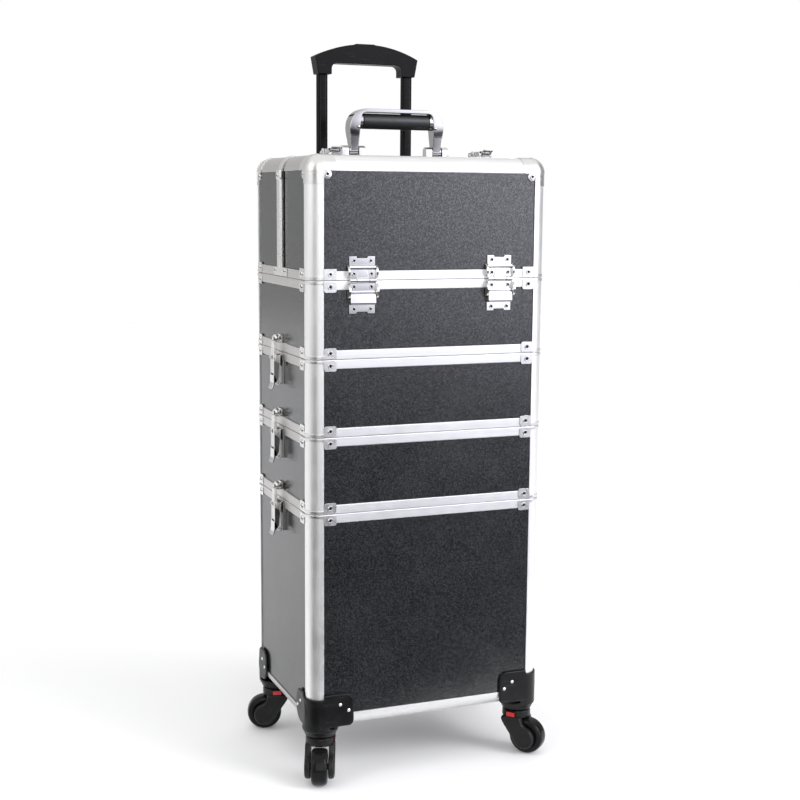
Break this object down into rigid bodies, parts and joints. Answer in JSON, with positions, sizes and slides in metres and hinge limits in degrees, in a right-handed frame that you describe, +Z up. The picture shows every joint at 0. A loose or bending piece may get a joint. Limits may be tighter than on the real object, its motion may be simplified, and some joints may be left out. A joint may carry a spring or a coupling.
{
  "type": "rolling makeup case",
  "caption": "Tall hard travel case on swivel casters: deep bin, stacked latched tiers and a split hinged lid, with a carry handle and a pull-up trolley handle.",
  "frame": {"origin": "on the floor, under the middle of the case", "axes": "+Z up, front of the case towards -Y, +X to the right seen from the front"},
  "size_m": [0.3826, 0.291, 1.0052],
  "materials": {
    "laminate": "fine pebble grain",
    "aluminium": "satin anodised",
    "chrome": "bright nickel",
    "black_plastic": "fine moulded",
    "black_tube": "satin black",
    "tread": "gloss black",
    "red_plastic": "gloss red",
    "padding": "velvet on foam"
  },
  "bodies": {
    "case": {"bin_panels": "laminate", "tier_panels": "laminate", "hood_panels": "laminate", "hood_lip": "black_plastic", "corner_posts": "aluminium", "edge_rails": "aluminium", "joint_bands": "aluminium", "corner_fittings": "chrome", "hood_strips": "chrome", "corner_guards": "black_plastic", "rivets": "chrome", "tier_dividers": "padding", "latch_bases": "chrome", "latch_keepers": "chrome", "hinge_lower_leaves": "chrome", "handle_feet": "chrome", "trolley_outer_tubes": "black_tube", "trolley_brackets": "black_plastic", "arm_pivots": "aluminium"},
    "front_lid": {"lid_panels": "laminate", "lid_profiles": "aluminium", "lid_corner_fittings": "chrome", "hinge_upper_leaves": "chrome", "top_latch_bases": "chrome", "tray_pivots": "aluminium"},
    "tray": {"lid_tray": "black_plastic"},
    "arms": {"tray_arms": "aluminium"},
    "carry_handle": {"carry_bail": "chrome", "carry_grip": "black_plastic"},
    "trolley": {"trolley_inner_tubes": "black_tube", "trolley_grip": "black_plastic"},
    "grip_button": {"trolley_button": "black_plastic"},
    "caster_fl": {"fork_fl": "black_plastic"},
    "roller_fl": {"wheel_fl": "tread"},
    "release_fl": {"button_fl": "red_plastic"},
    "caster_fr": {"fork_fr": "black_plastic"},
    "roller_fr": {"wheel_fr": "tread"},
    "release_fr": {"button_fr": "red_plastic"},
    "caster_rl": {"fork_rl": "black_plastic"},
    "roller_rl": {"wheel_rl": "tread"},
    "release_rl": {"button_rl": "red_plastic"},
    "caster_rr": {"fork_rr": "black_plastic"},
    "roller_rr": {"wheel_rr": "tread"},
    "release_rr": {"button_rr": "red_plastic"},
    "latch_left_2": {"lever_left_2": "chrome"},
    "hook_left_2": {"claw_left_2": "chrome"},
    "latch_left_3": {"lever_left_3": "chrome"},
    "hook_left_3": {"claw_left_3": "chrome"},
    "latch_left_4": {"lever_left_4": "chrome"},
    "hook_left_4": {"claw_left_4": "chrome"},
    "latch_right_2": {"lever_right_2": "chrome"},
    "hook_right_2": {"claw_right_2": "chrome"},
    "latch_right_3": {"lever_right_3": "chrome"},
    "hook_right_3": {"claw_right_3": "chrome"},
    "latch_right_4": {"lever_right_4": "chrome"},
    "hook_right_4": {"claw_right_4": "chrome"},
    "latch_top_l": {"lever_top_l": "chrome"},
    "hook_top_l": {"claw_top_l": "chrome"},
    "latch_top_r": {"lever_top_r": "chrome"},
    "hook_top_r": {"claw_top_r": "chrome"}
  },
  "joints": [
    {"name": "lid_hinge", "type": "hinge", "parent": "case", "child": "front_lid", "pos_m": [0, -0.1284, 0.678], "axis": [1, 0, 0], "range_deg": [0, 95]},
    {"name": "tray_level", "type": "hinge", "parent": "front_lid", "child": "tray", "pos_m": [0, -0.0944, 0.748], "axis": [1, 0, 0], "range_deg": [-95, 0]},
    {"name": "arm_swing", "type": "hinge", "parent": "case", "child": "arms", "pos_m": [0, -0.0804, 0.675], "axis": [1, 0, 0], "range_deg": [0, 95]},
    {"name": "handle_fold", "type": "hinge", "parent": "case", "child": "carry_handle", "pos_m": [0, 0.012, 0.848], "axis": [-1, 0, 0], "range_deg": [0, 82]},
    {"name": "trolley_slide", "type": "slide", "parent": "case", "child": "trolley", "axis": [0, 0, 1], "range_m": [-0.115, 0.3]},
    {"name": "grip_button_press", "type": "slide", "parent": "trolley", "child": "grip_button", "axis": [0, 0, -1], "range_m": [0, 0.0025], "stiffness_N_per_m": 400},
    {"name": "swivel_fl", "type": "hinge", "parent": "case", "child": "caster_fl", "pos_m": [-0.148, -0.103, 0.071], "axis": [0, 0, 1], "continuous": true},
    {"name": "roll_fl", "type": "hinge", "parent": "caster_fl", "child": "roller_fl", "pos_m": [-0.15465, -0.11972, 0.025], "axis": [0.9291, -0.3697, 0], "continuous": true},
    {"name": "press_fl", "type": "slide", "parent": "caster_fl", "child": "release_fl", "axis": [-0.9291, 0.3697, 0], "range_m": [0, 0.0015], "stiffness_N_per_m": 400},
    {"name": "swivel_fr", "type": "hinge", "parent": "case", "child": "caster_fr", "pos_m": [0.148, -0.103, 0.071], "axis": [0, 0, 1], "continuous": true},
    {"name": "roll_fr", "type": "hinge", "parent": "caster_fr", "child": "roller_fr", "pos_m": [0.15957, -0.11679, 0.025], "axis": [0.766, 0.6428, 0], "continuous": true},
    {"name": "press_fr", "type": "slide", "parent": "caster_fr", "child": "release_fr", "axis": [0.766, 0.6428, 0], "range_m": [0, 0.0015], "stiffness_N_per_m": 400},
    {"name": "swivel_rl", "type": "hinge", "parent": "case", "child": "caster_rl", "pos_m": [-0.148, 0.103, 0.071], "axis": [0, 0, 1], "continuous": true},
    {"name": "roll_rl", "type": "hinge", "parent": "caster_rl", "child": "roller_rl", "pos_m": [-0.16547, 0.10736, 0.025], "axis": [-0.2419, -0.9703, 0], "continuous": true},
    {"name": "press_rl", "type": "slide", "parent": "caster_rl", "child": "release_rl", "axis": [0.2419, 0.9703, 0], "range_m": [0, 0.0015], "stiffness_N_per_m": 400},
    {"name": "swivel_rr", "type": "hinge", "parent": "case", "child": "caster_rr", "pos_m": [0.148, 0.103, 0.071], "axis": [0, 0, 1], "continuous": true},
    {"name": "roll_rr", "type": "hinge", "parent": "caster_rr", "child": "roller_rr", "pos_m": [0.16547, 0.10736, 0.025], "axis": [-0.2419, 0.9703, 0], "continuous": true},
    {"name": "press_rr", "type": "slide", "parent": "caster_rr", "child": "release_rr", "axis": [-0.2419, 0.9703, 0], "range_m": [0, 0.0015], "stiffness_N_per_m": 400},
    {"name": "latch_turn_left_2", "type": "hinge", "parent": "case", "child": "latch_left_2", "pos_m": [-0.179, 0, 0.567], "axis": [0, 1, 0], "range_deg": [0, 100]},
    {"name": "hook_turn_left_2", "type": "hinge", "parent": "latch_left_2", "child": "hook_left_2", "pos_m": [-0.179, 0, 0.549], "axis": [0, 1, 0], "range_deg": [-100, 0]},
    {"name": "latch_turn_left_3", "type": "hinge", "parent": "case", "child": "latch_left_3", "pos_m": [-0.179, 0, 0.465], "axis": [0, 1, 0], "range_deg": [0, 100]},
    {"name": "hook_turn_left_3", "type": "hinge", "parent": "latch_left_3", "child": "hook_left_3", "pos_m": [-0.179, 0, 0.447], "axis": [0, 1, 0], "range_deg": [-100, 0]},
    {"name": "latch_turn_left_4", "type": "hinge", "parent": "case", "child": "latch_left_4", "pos_m": [-0.179, 0, 0.363], "axis": [0, 1, 0], "range_deg": [0, 100]},
    {"name": "hook_turn_left_4", "type": "hinge", "parent": "latch_left_4", "child": "hook_left_4", "pos_m": [-0.179, 0, 0.345], "axis": [0, 1, 0], "range_deg": [-100, 0]},
    {"name": "latch_turn_right_2", "type": "hinge", "parent": "case", "child": "latch_right_2", "pos_m": [0.179, 0, 0.567], "axis": [0, -1, 0], "range_deg": [0, 100]},
    {"name": "hook_turn_right_2", "type": "hinge", "parent": "latch_right_2", "child": "hook_right_2", "pos_m": [0.179, 0, 0.549], "axis": [0, -1, 0], "range_deg": [-100, 0]},
    {"name": "latch_turn_right_3", "type": "hinge", "parent": "case", "child": "latch_right_3", "pos_m": [0.179, 0, 0.465], "axis": [0, -1, 0], "range_deg": [0, 100]},
    {"name": "hook_turn_right_3", "type": "hinge", "parent": "latch_right_3", "child": "hook_right_3", "pos_m": [0.179, 0, 0.447], "axis": [0, -1, 0], "range_deg": [-100, 0]},
    {"name": "latch_turn_right_4", "type": "hinge", "parent": "case", "child": "latch_right_4", "pos_m": [0.179, 0, 0.363], "axis": [0, -1, 0], "range_deg": [0, 100]},
    {"name": "hook_turn_right_4", "type": "hinge", "parent": "latch_right_4", "child": "hook_right_4", "pos_m": [0.179, 0, 0.345], "axis": [0, -1, 0], "range_deg": [-100, 0]},
    {"name": "latch_turn_top_l", "type": "hinge", "parent": "front_lid", "child": "latch_top_l", "pos_m": [-0.11, -0.02665, 0.84542], "axis": [-1, 0, 0], "range_deg": [0, 100]},
    {"name": "hook_turn_top_l", "type": "hinge", "parent": "latch_top_l", "child": "hook_top_l", "pos_m": [-0.11, -0.04195, 0.84542], "axis": [-1, 0, 0], "range_deg": [-100, 0]},
    {"name": "latch_turn_top_r", "type": "hinge", "parent": "front_lid", "child": "latch_top_r", "pos_m": [0.11, -0.02665, 0.84542], "axis": [-1, 0, 0], "range_deg": [0, 100]},
    {"name": "hook_turn_top_r", "type": "hinge", "parent": "latch_top_r", "child": "hook_top_r", "pos_m": [0.11, -0.04195, 0.84542], "axis": [-1, 0, 0], "range_deg": [-100, 0]}
  ],
  "couplings": [
    {"joint": "tray_level", "follows": "lid_hinge", "ratio": -1},
    {"joint": "arm_swing", "follows": "lid_hinge", "ratio": 1},
    {"joint": "hook_turn_left_2", "follows": "latch_turn_left_2", "ratio": -1},
    {"joint": "hook_turn_left_3", "follows": "latch_turn_left_3", "ratio": -1},
    {"joint": "hook_turn_left_4", "follows": "latch_turn_left_4", "ratio": -1},
    {"joint": "hook_turn_right_2", "follows": "latch_turn_right_2", "ratio": -1},
    {"joint": "hook_turn_right_3", "follows": "latch_turn_right_3", "ratio": -1},
    {"joint": "hook_turn_right_4", "follows": "latch_turn_right_4", "ratio": -1},
    {"joint": "hook_turn_top_l", "follows": "latch_turn_top_l", "ratio": -1},
    {"joint": "hook_turn_top_r", "follows": "latch_turn_top_r", "ratio": -1}
  ]
}
